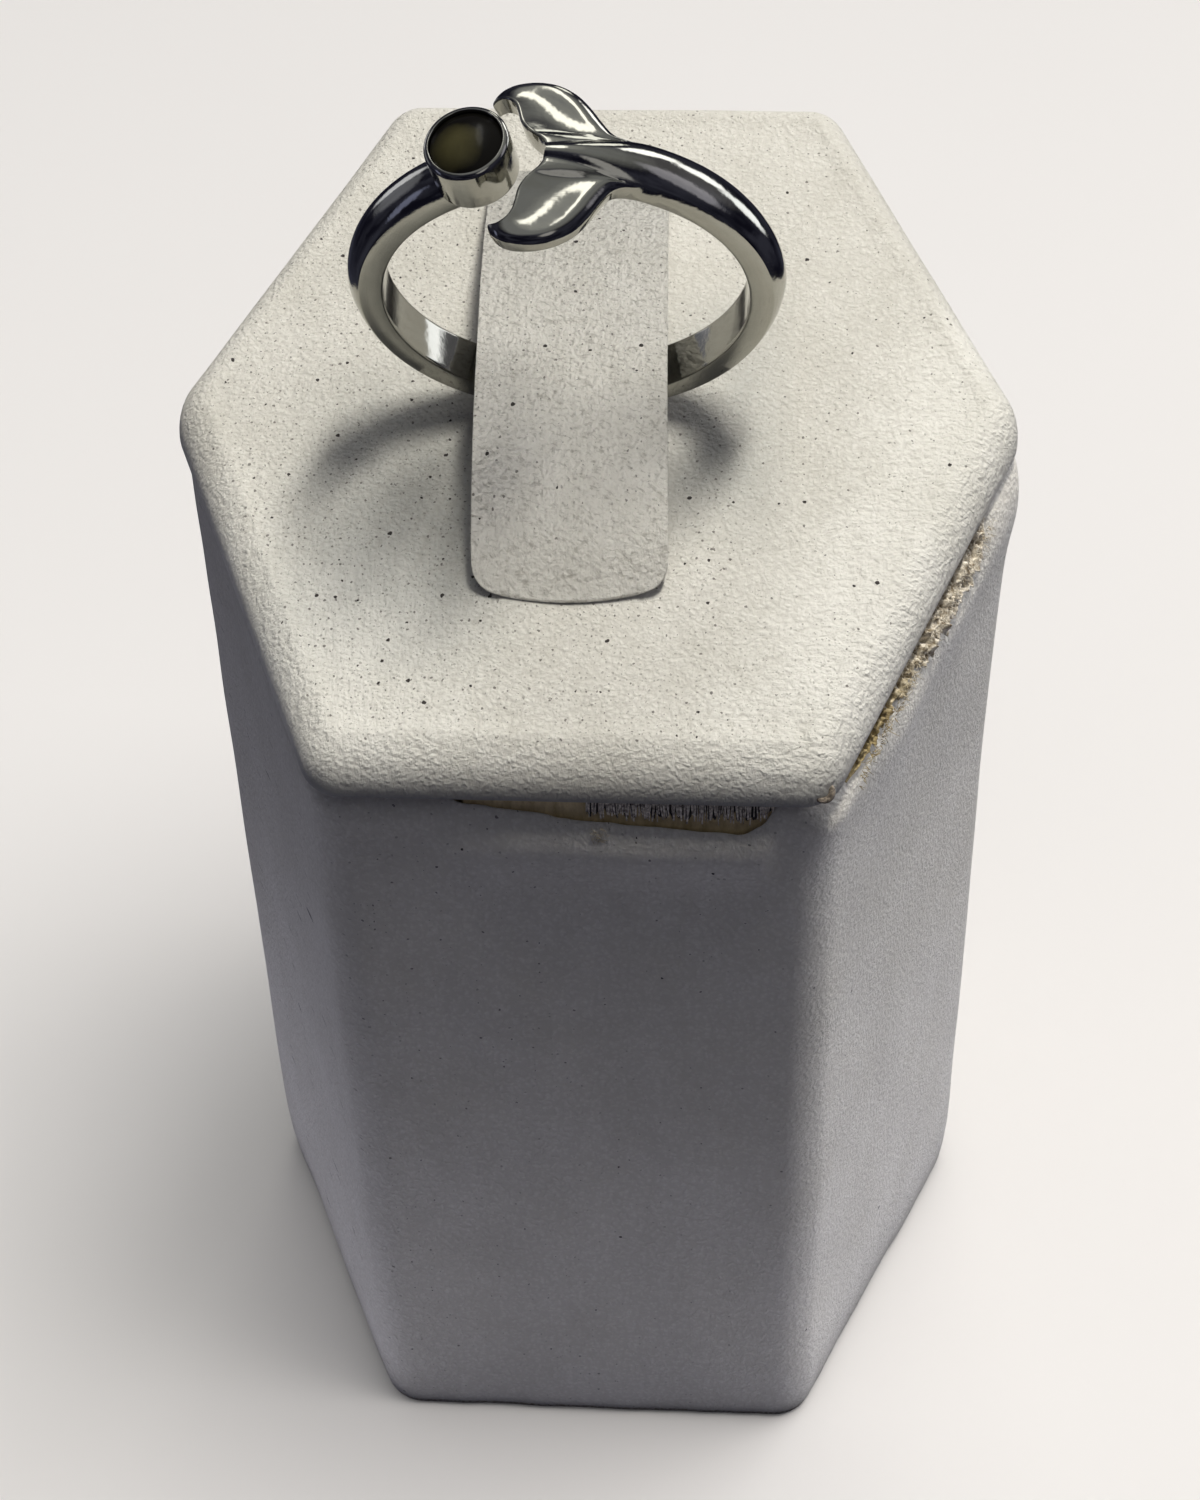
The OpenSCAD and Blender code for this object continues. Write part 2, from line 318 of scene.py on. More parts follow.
def creases(paint, bent):
    """Short slanting creases, two and a half times as long as they are wide."""
    slanted = paint.node("ShaderNodeMapping", Vector=bent, Rotation=(0, 0, 0.35))
    drawn_out = paint.node("ShaderNodeMapping", Vector=slanted, Scale=(1.0, 2.4, 1.0))
    return paint.spread(paint.noise(drawn_out, 2.6, 4.0, 0.65), 0.53, 0.66)


def wrinkles(paint, x, y):
    """Wrinkles across the pad's right edge, and others along it on the left of the strip."""
    near_edge = paint.spread(x * 0.911 - y * 0.412, 11.0, 18.5)
    near_left = paint.spread(x, -1.0, -9.0) * paint.spread(y, -3.0, -12.0)
    return (paint.noise(paint.place((0.8, 3.0, 1.0)), 1.1, 3.0) * near_edge * 1.2
            + paint.noise(paint.place((3.0, 0.7, 1.0)), 1.1, 3.0) * near_left * 0.96)


# %% Paint shadows and shade onto the padded top
def pad_painted_shade(paint, skin, tone, x, y, z):
    """Two painted shadows beside the strip, and a painted shade under the front roll."""
    # Painted shadows: the pad is darkened beside the strip, where the soft shadows of the ring and the strip
    # fall.
    left_painted_shadow = paint.spread(abs(x + 9.0), 7.5, 2.5) * paint.spread(abs(y + 6.5), 11.0, 5.0)
    right_painted_shadow = paint.spread(abs(x - 6.3), 4.0, 1.5) * paint.spread(abs(y + 1.0), 9.0, 4.0)
    painted_shadow = (left_painted_shadow + right_painted_shadow) * paint.spread(tone, 0.95, 0.60, 0.45, 1.0)
    skin = paint.blend(painted_shadow, skin, (0.62, 0.62, 0.59))
    # Painted shade: the underside of the front roll is darkened where it turns down, away from the lamps.
    below = paint.spread(z - y * tan(SLOPE), SEAM_Z + 1.9, SEAM_Z + 0.5) * paint.spread(y, -18.0, -20.5)
    return paint.blend(below * 0.85, skin, (0.30, 0.295, 0.29))


# %% Scatter the dust in three sizes
def dust(paint, skin, spot, specks, cut):
    x, y, z = (paint.part(spot, axis) for axis in "XYZ")
    clouds = paint.noise(spot, 0.14, 3.0) * 1.6 + paint.spread(x, -16.0, 16.0, 0.30, -0.60)
    amount = paint.spread(clouds, 0.35, 1.0, 0.22, 1.0) * specks
    if cut == "top":
        beside_strip = paint.spread(abs(abs(x) - 5.5), 1.8, 0.4) * paint.spread(abs(y + 5.0), 9.0, 6.0)
        amount = amount + beside_strip * 0.5
    if cut == "side":
        pores = amount
        spot = paint.node("ShaderNodeCombineXYZ", X=x + y * 0.6, Y=z)
    else:
        upward = paint.part(paint.node("ShaderNodeNewGeometry", output="Normal"), "Z")
        facing_up = paint.spread(upward, 0.72, 0.88)
        amount = amount * facing_up
        pores = amount + paint.spread(y, -11.0, -19.0, 0.0, 0.9) * specks * facing_up
    spot = paint.shaken(spot, 6.0, (0.16, 0.16, 0.0))
    skin = paint.blend(dots(paint, spot, 3.4, pores, 0.055) * 0.45, skin, (0.16, 0.14, 0.12))
    skin = paint.blend(dots(paint, spot, 1.9, amount * 1.3, 0.060) * 0.75, skin, (0.09, 0.075, 0.065))
    return paint.blend(dots(paint, spot, 0.85, amount * 0.6, 0.095), skin, (0.040, 0.032, 0.030))


# %% Mix the three cuts of leatherette
def leatherette(cut, specks, pebble, depth, pit_shade, coarse):
    paint = Paint("leatherette_" + cut, Roughness=0.62, Coat_Roughness=0.5, Coat_Weight=0.04,
                  Specular_IOR_Level=0.35)
    spot = paint.place()
    x, y, z = (paint.part(spot, axis) for axis in "XYZ")
    bent = paint.shaken(spot, 1.6, (0.5, 0.5, 0.5))
    grain, fine = embossing(paint, spot, bent, pebble, coarse)
    tone = paint.noise(spot, 0.16, 5.0, 0.6) + paint.noise(paint.place((1.2, 0.4, 0.4)), 0.6, 5.0, 0.6) * 0.5
    skin = paint.blend(paint.spread(tone, 0.60, 0.92), (0.79, 0.77, 0.715), (0.88, 0.86, 0.81))
    if cut == "top":
        grain = grain + wrinkles(paint, x, y)
        skin = pad_painted_shade(paint, skin, tone, x, y, z)
    if cut == "strip":
        # Painted shade: the free end slopes down away from the lamps, so its colour darkens towards the tip.
        tip_painted_shade = paint.spread(y, -8.0, -13.0, 0.0, 0.55)
        skin = paint.blend(tip_painted_shade, skin, (0.60, 0.585, 0.545))
        creased = creases(paint, bent)
        grain = grain - creased * 0.15
        # Painted shade: the creases are darkened in colour as well as sunk in the bump.
        skin = paint.blend(creased * 0.60, skin, (0.40, 0.38, 0.34))
    # Painted shade: the colour darkens in the low pits of the grain, where its bumps would be shaded.
    skin = paint.blend(paint.spread(grain, 0.30, 0.80, pit_shade, 0.0), skin, (0.40, 0.37, 0.32))
    return paint.use(Base_Color=dust(paint, skin, spot, specks, cut), Normal=paint.relief(grain, depth),
                     Roughness=paint.spread(fine, 0.3, 0.7, 0.55, 0.72))


pad_skin = leatherette("top", specks=0.9, pebble=0.26, depth=0.20, pit_shade=0.32, coarse=0.55)
strip_skin = leatherette("strip", specks=0.6, pebble=0.34, depth=0.55, pit_shade=0.45, coarse=1.7)
column_skin = leatherette("side", specks=0.10, pebble=0.26, depth=0.18, pit_shade=0.38, coarse=0.5)
print("three cuts of leatherette are mixed")

# %% [markdown]
# ## The board and the cloth behind the skin
# Where the seams have given way, the block shows: a yellow-brown board with a coarse sawn
# face. The leatherette's own backing is a cream cotton that frays into short hairs, and a nearly
# black sheet is a painted shade for the dark cavity behind them. A noise mixes a light and a dark
# tone of each; on the cotton the dark tone lies in the low spots of the bumps, partly a painted
# shade in the hollows.


# %% Mix the board and the backing
def sawn_board():
    paint = Paint("sawn_board", Roughness=0.85)
    flecks = paint.noise(paint.place((1.0, 1.0, 0.35)), 2.4, 5.0, 0.7)
    colour = paint.blend(paint.spread(flecks, 0.35, 0.7), (0.46, 0.36, 0.19), (0.74, 0.61, 0.36))
    saw_marks = paint.noise(paint.place(), 4.0, 5.0, 0.7)
    return paint.use(Base_Color=colour, Normal=paint.relief(saw_marks, 0.06))


def cotton(name, light, dark):
    paint = Paint(name, Roughness=0.95)
    clumps = paint.noise(paint.place(), 5.0, 4.0, 0.7)
    # Partly painted shade: the dark tone lies in the low spots of the same noise that raises the bumps, over
    # the cloth's own mixed tone.
    colour = paint.blend(paint.spread(clumps, 0.38, 0.62), dark, light)
    return paint.use(Base_Color=colour, Normal=paint.relief(clumps, 0.08))


board = sawn_board()
backing = cotton("cotton_backing", (0.76, 0.71, 0.60), (0.40, 0.33, 0.21))
thread = cotton("frayed_thread", (0.86, 0.80, 0.72), (0.22, 0.19, 0.165))
# Painted shade: a nearly black cloth for the sheet that stands in for the dark cavity behind the front
# threads.
old_glue = cotton("old_glue", (0.045, 0.038, 0.034), (0.018, 0.016, 0.016))
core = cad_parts["stand_core"].data
core.materials.clear()
core.materials.append(board)
print("the core shows its board")

# %% [markdown]
# ## The six-sided outline
# The panel, its foam and the wrap all follow one outline, so one helper draws it. A circle of
# six segments is pulled to the six corners, each corner is bevelled to a round one, and the
# long sides are cut into short steps, because soft things need points to bend at.


# %% Draw the outline as a single face
def hexagon(bm, inset, corner_r, step):
    made = bmesh.ops.create_circle(bm, segments=6, radius=1.0, cap_ends=True)["verts"]
    made.sort(key=lambda v: atan2(v.co.y, v.co.x))
    corners = sorted(CORNERS, key=lambda c: atan2(c[1], c[0] + 1e-6))
    slant = hypot(SIDE_W - HALF_F, HALF_D)
    depth = HALF_D - inset
    width = SIDE_W - inset * slant / HALF_D
    front = width - depth * (SIDE_W - HALF_F) / HALF_D
    for v, (x, y) in zip(made, corners):
        at_side = y == 0
        v.co = (copysign(width if at_side else front, x), 0 if at_side else copysign(depth, y), 0)
    round_off(bm, made, corner_r * 0.55, 6, affect="VERTICES")
    for edge in [e for e in bm.edges if e.calc_length() > 4]:
        fine = step if faces_front(edge) else 3 * step
        bmesh.ops.subdivide_edges(bm, edges=[edge], cuts=round(edge.calc_length() / fine) - 1)
    return list(bm.faces)


def faces_front(edge):
    """The sides with the two tears need the most points."""
    middle = (edge.verts[0].co + edge.verts[1].co) / 2
    return middle.y < -5 and middle.x > -5


# %% [markdown]
# ## The padded top
# A thin foam lies on a card, and the leatherette is drawn over it and glued below, so the
# upper edge is a fat soft roll. The outline is extruded to the panel's thickness, its upper
# edge is bevelled into the roll, and rings of insets give the flat its points. The points are
# sheared up to the slope and pushed a little: a crown in the middle, slow waves, and tucks at
# a gathered corner. The slot for the strip has straight sides, so a Boolean cuts it last.

# %% Describe the waves and tucks of the skin
GATHERED = (11.6, -20.2)


def skin_wave(x, y, z=0.0):
    slow = noise(Vector((x, y, z)) * 0.16) * 0.10
    return slow + noise(Vector((x, y, z + 40)) * 0.5) * 0.035


def tuck(x, y):
    """Small creases that fan out of the gathered corner."""
    away = hypot(x - GATHERED[0], y - GATHERED[1])
    fan = atan2(y - GATHERED[1], x - GATHERED[0])
    return 0.10 * sin(fan * 9 + away * 1.5) * ease(1 - away / 4.0) * ease(away / 0.6)


# %% Shape the padded top
PAD_ROLL = 1.95
PAD_FOOT = 0.25
PAD_RINGS = 26
PAD_CROWN = 0.12


def padded_top():
    bm = bmesh.new()
    raised = bmesh.ops.extrude_face_region(bm, geom=hexagon(bm, 0.0, 2.4, 0.8))
    top = [f for f in raised["geom"] if isinstance(f, bmesh.types.BMFace)]
    bmesh.ops.translate(bm, vec=(0, 0, PANEL_T), verts=list({v for f in top for v in f.verts}))
    upper = list(top[0].edges)
    lower = [e for e in bm.edges if all(abs(v.co.z) < 1e-6 for v in e.verts)]
    round_off(bm, upper, PAD_ROLL, 12)
    round_off(bm, lower, PAD_FOOT, 3)
    flat = max(bm.faces, key=lambda f: f.calc_center_median().z * 10 + len(f.verts))
    for ring in range(1, PAD_RINGS):
        bmesh.ops.inset_region(bm, faces=[flat], thickness=0.0)
        share = 1 - ring / PAD_RINGS
        bmesh.ops.scale(bm, vec=(share / (share + 1 / PAD_RINGS),) * 2 + (1,), verts=flat.verts)
    bmesh.ops.poke(bm, faces=[flat])
    for v in bm.verts:
        x, y, h = v.co
        lift = (skin_wave(x, y) + tuck(x, y)) * ease(h / PANEL_T)
        crown = PAD_CROWN * ease(1 - hypot(x, y) / 21) - PAD_CROWN
        v.co.z = TOP_Z - PANEL_T + h + y * tan(SLOPE) + lift + crown * (h > PANEL_T - 0.01)
    face_outwards(bm)
    return bm


# %% Cut the slot that the strip goes down into
def cut_slot(piece, half, near, far):
    knife = bmesh.new()
    add_box(knife, (2 * half, far - near, 8), (0, (near + far) / 2, 0))
    bmesh.ops.transform(knife, matrix=Matrix.Scale(MM, 4) @ ON_TOP @ IN_STRIP, verts=knife.verts)
    blade = into_scene("slot_knife", to_mesh("slot_knife", knife))
    cut = piece.modifiers.new("slot", "BOOLEAN")
    cut.object = blade
    cut.operation = "DIFFERENCE"
    shown = piece.evaluated_get(bpy.context.evaluated_depsgraph_get())
    finished = bpy.data.meshes.new_from_object(shown)
    piece.modifiers.clear()
    piece.data = finished
    bpy.data.objects.remove(blade)
    print(piece.name, "with its slot has", len(finished.polygons), "faces")


# %% Put the padded top on the stand
STRIP_HALF = 4.65
STRIP_T = 0.85
STRIP_FRONT = 12.8
STRIP_BACK = 15.0
SLOT_ROOM = 0.12
IN_STRIP = placed((-0.89, 0, 0), Z=radians(2.1))
top = add_piece("padded_top", padded_top(), "leatherette", pad_skin)
cut_slot(top, STRIP_HALF + SLOT_ROOM, STRIP_BACK - SLOT_ROOM, STRIP_BACK + STRIP_T + 0.15)
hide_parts("top_panel")

# %% [markdown]
# ## The leatherette round the column
# One piece of leatherette is glued round the block, and its upper edge is rolled in below the
# panel, so that the seam is a groove between two soft shoulders. The outline's edge is drawn
# up in steps and then rolled in along a quarter of an ellipse. Each point remembers its foot
# and the way out of the wall there, which makes every later push a simple one. Two seams have
# torn: the front edge has sagged in a long slack curve, and the right one has split open.

# %% Describe the two tears
# A tear's table says how far the edge has sagged, in mm: at the front against X, and on the
# right against the share of the way from the front corner to the side corner.
WRAP_IN = 0.25
SKIN_T = 0.35
SHOULDER_IN, SHOULDER_H = 0.95, 1.6
WALL_STEPS, SHOULDER_STEPS = 20, 9
FRONT_TEAR = [(-7.0, 0.0), (-5.0, 0.5), (-2.8, 0.85), (0.8, 1.35), (3.3, 1.6), (6.6, 1.85), (8.0, 1.95),
              (8.9, 1.4), (9.7, 0.0)]
RIGHT_TEAR = [(0.08, 0.0), (0.15, 0.22), (0.30, 0.42), (0.44, 0.75), (0.60, 1.0), (0.74, 0.9), (0.80, 0.0)]


def along_table(table, x):
    if x <= table[0][0] or x >= table[-1][0]:
        return 0.0
    for (x0, y0), (x1, y1) in zip(table, table[1:]):
        if x <= x1:
            return mix(y0, y1, ease((x - x0) / (x1 - x0)))


def ragged(x, seed, size):
    slow = noise(Vector((x * 2.2, seed, 0.5)))
    quick = noise(Vector((x * 6.0, seed, 7.5)))
    return slow * size + quick * size * 0.5


def front_tear(x, y):
    slack = along_table(FRONT_TEAR, x) if y < -HALF_D + 1.0 else 0.0
    return slack + ragged(x, 3.0, 0.10) * ease(slack * 2)


def right_tear(x, y):
    share = (x - HALF_F) / (SIDE_W - HALF_F) if y < 0 and x > 0 else 0.0
    slack = along_table(RIGHT_TEAR, share)
    return slack + ragged(share * 23, 9.0, 0.35) * ease(slack * 2)


def seam_z(y):
    return SEAM_Z + y * tan(SLOPE) - 0.06


# %% Place each point of the wall
def way_out(v):
    ends = [edge.other_vert(v).co for edge in v.link_edges]
    run = ends[1] - ends[0]
    way = Vector((run.y, -run.x, 0)).normalized()
    return way if way.dot(v.co) > 0 else -way


def skin_push(foot, spot):
    """Small movements of a glued skin: slow waves, bulges by the tears, a tucked-in foot."""
    below = seam_z(foot.y) - spot.z
    push = skin_wave(foot.x * 1.5, spot.z, foot.y * 1.5) * 1.2
    loose = ease((foot.x - HALF_F) / 3) * ease((4 - foot.y) / 5)
    push += loose * (0.45 * ease(1 - below / 16) + 0.32 * bump_at(below, 2.8, 2.8))
    push += 0.45 * bump_at(foot.x, HALF_F, 1.8) * bump_at(below, 1.9, 2.2) * (foot.y < -10)
    push += 0.35 * ease(front_tear(*foot.xy)) * bump_at(below, 3.2, 2.6)
    push -= 0.35 * ease(1 - spot.z / 1.0) ** 2
    return push


def wall_point(foot, way, k):
    """Step k of the way up: the wall first, closer together near its top, then the shoulder."""
    torn = front_tear(*foot.xy) + right_tear(*foot.xy)
    roll = pi / 2 * clamp((k - WALL_STEPS) / SHOULDER_STEPS)
    inward = mix(SHOULDER_IN, 0.22, ease(front_tear(*foot.xy) * 2))
    spot = foot - way * inward * (1 - cos(roll))
    share = 1 - (1 - min(k, WALL_STEPS) / WALL_STEPS) ** 1.5
    straight = (seam_z(spot.y) - SHOULDER_H) * share
    spot.z = straight + SHOULDER_H * sin(roll) - torn * ease((share - 0.85) / 0.15)
    return spot + way * skin_push(foot, spot)


# %% Draw the wall up to the seam and roll it in
def wrapped_wall():
    bm = bmesh.new()
    faces = hexagon(bm, WRAP_IN, 2.8, 0.42)
    bmesh.ops.delete(bm, geom=faces, context="FACES_ONLY")
    foot = bm.verts.layers.float_vector.new("foot")
    way = bm.verts.layers.float_vector.new("way")
    for v in bm.verts:
        v[foot] = v.co
        v[way] = way_out(v)
    rim = list(bm.edges)
    for k in range(1, WALL_STEPS + SHOULDER_STEPS + 1):
        raised = bmesh.ops.extrude_edge_only(bm, edges=rim)["geom"]
        rim = [e for e in raised if isinstance(e, bmesh.types.BMEdge)]
        for v in {v for e in rim for v in e.verts}:
            v.co = wall_point(v[foot], v[way], k)
    for v in bm.verts:
        if v.co == v[foot]:
            v.co += v[way] * skin_push(v[foot], v.co)
    bmesh.ops.recalc_face_normals(bm, faces=bm.faces)
    return bm


wall = add_piece("column_wrap", wrapped_wall(), "leatherette", column_skin, backing)
thick = wall.modifiers.new("thickness", "SOLIDIFY")
thick.thickness = SKIN_T * MM
thick.offset = -1
thick.use_even_offset = True
thick.material_offset = thick.material_offset_rim = 1
smooth = wall.modifiers.new("smooth", "SUBSURF")
smooth.levels = smooth.render_levels = 1
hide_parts("side_wrap")

# %% [markdown]
# ## What shows in the tears
# Behind the front tear, short threads of the backing hang before a ragged, nearly black sheet,
# a painted shade for the cavity behind them, in front of the board. Along the right tear the
# backing has matted into a lumpy band with stray fibres. A thread is a thin cone. The dark sheet
# and the band are thickened grids, and three sizes of noise push the band about. A seeded random
# gives the same threads in every run.

# %% Show the board behind the front tear
BOARD_Y = -HALF_D + 0.62
BOARD_WIDE, BOARD_T, BOARD_DEEP = 16.0, 0.6, 4.0


def board_patch():
    bm = bmesh.new()
    add_box(bm, (BOARD_WIDE, BOARD_T, 1.0), (3.0, BOARD_Y + BOARD_T / 2, 0))
    for v in bm.verts:
        v.co.z = seam_z(v.co.y) + (0.2 if v.co.z > 0 else -BOARD_DEEP)
    return bm


add_piece("torn_board_edge", board_patch(), "board", board, sharp=30)

# %% Lay the ragged dark sheet, a painted shade for the cavity behind the threads
SHADE_SHEET_STEPS = 220


def cavity_shade_sheet():
    bm = bmesh.new()

    def place(i, j):
        x = mix(0.75, 9.55, i / SHADE_SHEET_STEPS)
        y = BOARD_Y - 0.03
        drop = front_tear(x, -HALF_D) * (0.72 + ragged(x * 3, 21.0, 0.42))
        return Vector((x, y - 0.05 * j, seam_z(y) + 0.1 - j * min(drop, 1.4)))

    grid(bm, SHADE_SHEET_STEPS, 1, place)
    bmesh.ops.translate(bm, vec=(0, -0.02, 0), verts=second_skin(bm))
    face_outwards(bm)
    return bm


add_piece("front_tear_glue", cavity_shade_sheet(), "board", old_glue)

# %% Hang the threads before it
THREADS = 120


def add_thread(bm, root, tip, r):
    way = tip - root
    turn = way.to_track_quat("Z", "Y").to_matrix().to_4x4()
    bmesh.ops.create_cone(bm, segments=6, radius1=r, radius2=r * 0.5, depth=way.length, cap_ends=True,
                          matrix=placed((root + tip) / 2) @ turn)


def front_threads():
    bm = bmesh.new()
    dice = random.Random(7)
    for count in range(THREADS):
        x = mix(0.80, 9.45, (count + dice.uniform(-0.4, 0.4)) / (THREADS - 1))
        y = BOARD_Y - dice.uniform(0.10, 0.22)
        z = seam_z(y)
        drop = min(front_tear(x, -HALF_D) * dice.uniform(0.6, 0.95), dice.uniform(0.9, 1.5))
        root = Vector((x, y, z + 0.15))
        tip = Vector((x + dice.gauss(0, 0.07), y - dice.uniform(-0.05, 0.10), z - drop))
        add_thread(bm, root, tip, dice.uniform(0.03, 0.08))
    return bm


add_piece("front_tear_threads", front_threads(), "leatherette", thread)


# %% Leave a small frayed spot on the lip below them
def frayed_spot():
    bm = bmesh.new()
    dice = random.Random(5)
    middle = Vector((1.25, -HALF_D + 0.02, seam_z(-HALF_D) - 1.75))
    for count in range(40):
        root = middle + Vector((dice.gauss(0, 0.22), 0, dice.gauss(0, 0.22)))
        tip = root + Vector((dice.gauss(0, 0.16), -dice.uniform(0.0, 0.10), dice.gauss(0, 0.14)))
        add_thread(bm, root, tip, 0.022)
    return bm


add_piece("frayed_spot", frayed_spot(), "leatherette", backing)

# %% Mat the fibres of the right tear
MAT_LONG, MAT_WIDE = 520, 26
STRAY_FIBRES = 420


def lumps(spot):
    return noise(spot * 1.7) * 0.45 + noise(spot * 4.5) * 0.34 + noise(spot * 14.0) * 0.10


def right_tufts():
    """A band of matted fibres from under the padded top out over the torn lip."""
    bm = bmesh.new()
    way = Vector((HALF_D, HALF_F - SIDE_W, 0)).normalized()

    def place(i, j):
        share, along = mix(0.085, 0.80, i / MAT_LONG), j / MAT_WIDE
        x, y = mix(HALF_F, SIDE_W, share), mix(-HALF_D, 0, share)
        torn = right_tear(x, y)
        out = Vector((x, y, 0)) - way * mix(-0.60 * torn, SHOULDER_IN - 0.40, along ** 1.2)
        out.z = seam_z(y) - mix(torn + 0.25, 0.0, along ** 0.8)
        lump = lumps(out) * ease(min(torn * 2.5, 1)) * ease(min(along * 5, 1))
        return out + (way + Vector((0, 0, 0.8))) * (lump - 0.10)

    grid(bm, MAT_LONG, MAT_WIDE, place)
    bmesh.ops.translate(bm, vec=-way * 0.06, verts=second_skin(bm))
    face_outwards(bm)
    dice = random.Random(11)
    for count in range(STRAY_FIBRES):
        share = dice.uniform(0.11, 0.80)
        x, y = mix(HALF_F, SIDE_W, share), mix(-HALF_D, 0, share)
        root = Vector((x, y, seam_z(y) - dice.uniform(0.1, 1.2))) + way * 0.30
        tip = root + Vector((dice.gauss(0.12, 0.15), dice.gauss(-0.05, 0.15), dice.gauss(0.02, 0.15)))
        add_thread(bm, root, tip, 0.018)
    return bm


# %% Colour the fibres: cream where torn fresh, yellow-brown where old glue soaked them, with painted shade in the pits
def matted_fibre():
    paint = Paint("matted_fibre", Roughness=0.95)
    spot = paint.place()
    clumps = paint.noise(spot, 3.0, 5.0, 0.7)
    tone = paint.spread(clumps, 0.36, 0.60)
    # Partly painted shade: the dark end of each tone lies in the low spots of the bump noise, a painted shade
    # in the pits between the lumps.
    fresh = paint.blend(tone, (0.20, 0.155, 0.095), (0.78, 0.73, 0.63))
    glued = paint.blend(tone, (0.11, 0.080, 0.035), (0.50, 0.40, 0.20))
    colour = paint.blend(paint.spread(paint.part(spot, "Y") + clumps * 6.0, -13.0, -8.0), glued, fresh)
    return paint.use(Base_Color=colour, Normal=paint.relief(clumps, 0.15))


add_piece("right_tear_tufts", right_tufts(), "leatherette", matted_fibre())

# %% Curl the loose corner of the padded top
CURL_R = 0.36
CURL_TUBE_R = 0.17
CURL_SIDES = 12
IN_CURL = placed((11.65, -20.55, seam_z(-20.9) + 0.75), X=radians(62), Z=2.4)


def corner_curl():
    """A pinched fold of skin: a small tube turned round three quarters of a circle."""
    bm = bmesh.new()
    tube = bmesh.ops.create_circle(bm, segments=CURL_SIDES, radius=CURL_TUBE_R,
                                   matrix=placed((CURL_R, 0, 0), X=radians(90)))["verts"]
    edges = list({e for v in tube for e in v.link_edges})
    bmesh.ops.spin(bm, geom=tube + edges, cent=(0, 0, 0), axis=(0, 0, 1), angle=radians(265), steps=26)
    bmesh.ops.remove_doubles(bm, verts=bm.verts, dist=0.001)
    for v in bm.verts:
        v.co += Vector((0, 0, 0.12 * noise(v.co * 3)))
    bmesh.ops.holes_fill(bm, edges=bm.edges, sides=CURL_SIDES)
    face_outwards(bm)
    return bm


curl_skin = cotton("curled_skin", (0.26, 0.22, 0.175), (0.04, 0.032, 0.026))
add_piece("corner_curl", corner_curl(), "leatherette", curl_skin, place=IN_CURL)

# %% [markdown]
# ## The strip that holds the ring
# A folded and glued strip of leatherette comes out of a slot behind the ring, passes over the
# band's lowest part and lies down at its free end, which is cut to a shallow curve. It is a
# grid bent along that path. Extruding the grid by the strip's thickness makes it solid, and
# bevelling its outer edges gives them the soft round of a folded edge.

# %% Describe the strip's path over the band
EDGE_REACH = STRIP_HALF + 0.14
band_low = RING_SPOT[2] + BAND_HALF * sin(RING_LEAN) + 0.05
ARCH_H = band_low - sqrt(BORE_R ** 2 - EDGE_REACH ** 2) * cos(RING_LEAN)
LEVEL_FROM, LEVEL_TO = -1.5, 3.0
TIP_FLAT = 0.4
TIP_ARC = 12.3
TIP_CORNER = 0.8
INTO_SLOT = 1.9
DOWN_SHARE = 0.1


def strip_lift(y):
    run = clamp((y + STRIP_FRONT - TIP_FLAT) / (LEVEL_FROM + STRIP_FRONT - TIP_FLAT))
    rise = mix(ease(run), 1 - (1 - run) ** 2.4, 0.8)
    fall = clamp((y - LEVEL_TO) / (STRIP_BACK - LEVEL_TO))
    return mix(0.02, 0.1, ease(run * 6)) + ARCH_H * rise * (1 - fall ** 2)


def strip_end(x):
    """The free end is an arc with softened corners."""
    arc = TIP_ARC - sqrt(TIP_ARC ** 2 - x * x)
    corner = max(0.0, abs(x) - STRIP_HALF + TIP_CORNER)
    return arc + TIP_CORNER - sqrt(TIP_CORNER ** 2 - corner ** 2)


def strip_path(x, k):
    """A point of the underside: k is 0 at the free end, 1 at the slot and 1.1 down inside it."""
    if k <= 1:
        y = mix(-STRIP_FRONT + strip_end(x), STRIP_BACK, k)
        return Vector((x, y, strip_lift(y)))
    down = (k - 1) / DOWN_SHARE
    return Vector((x, STRIP_BACK + 0.25 * ease(down), 0.1 - INTO_SLOT * down))


spots = [strip_path(0, (1 + DOWN_SHARE) * k / 440) for k in range(441)]
flat_long = sum((b - a).length for a, b in zip(spots, spots[1:]))
print("cut flat, the strip is", round(2 * STRIP_HALF, 1), "mm wide and", round(flat_long, 1), "mm long")

# %% Bend the grid along the path and thicken it
STRIP_LONG, STRIP_WIDE = 110, 30
TIP_T = 0.22
EDGE_CROWDING = 0.985


def across_strip(j):
    """Lines lie closer together near the strip's two edges."""
    turn = pi / 2 * EDGE_CROWDING
    return STRIP_HALF * sin(turn * (2 * j / STRIP_WIDE - 1)) / sin(turn)


def strip_up(y):
    """The way out of the strip's upper face, which turns over to the back at the slot."""
    slope = (strip_lift(y + 0.01) - strip_lift(y - 0.01)) / 0.02
    turn = mix(atan(slope), -pi / 2, ease((y - STRIP_BACK + 1.2) / 1.2))
    return Vector((0, -sin(turn), cos(turn)))


def bent_strip():
    bm = bmesh.new()
    grid(bm, STRIP_LONG, STRIP_WIDE,
         lambda i, j: strip_path(across_strip(j), (1 + DOWN_SHARE) * i / STRIP_LONG))
    for v in second_skin(bm):
        v.co += strip_up(v.co.y) * mix(TIP_T, STRIP_T, ease((v.co.y + STRIP_FRONT) / 2.6))
    bmesh.ops.remove_doubles(bm, verts=bm.verts, dist=0.004)
    face_outwards(bm)
    rim = [e for e in bm.edges if len(e.link_faces) == 2 and e.calc_face_angle(0) > 1.0]
    round_off(bm, rim, 0.10, 3, clamp_overlap=True)
    for v in bm.verts:
        v.co.z += skin_wave(v.co.x * 2 + 50, v.co.y) * 0.5 * ease(v.co.z / 1.2)
    return bm


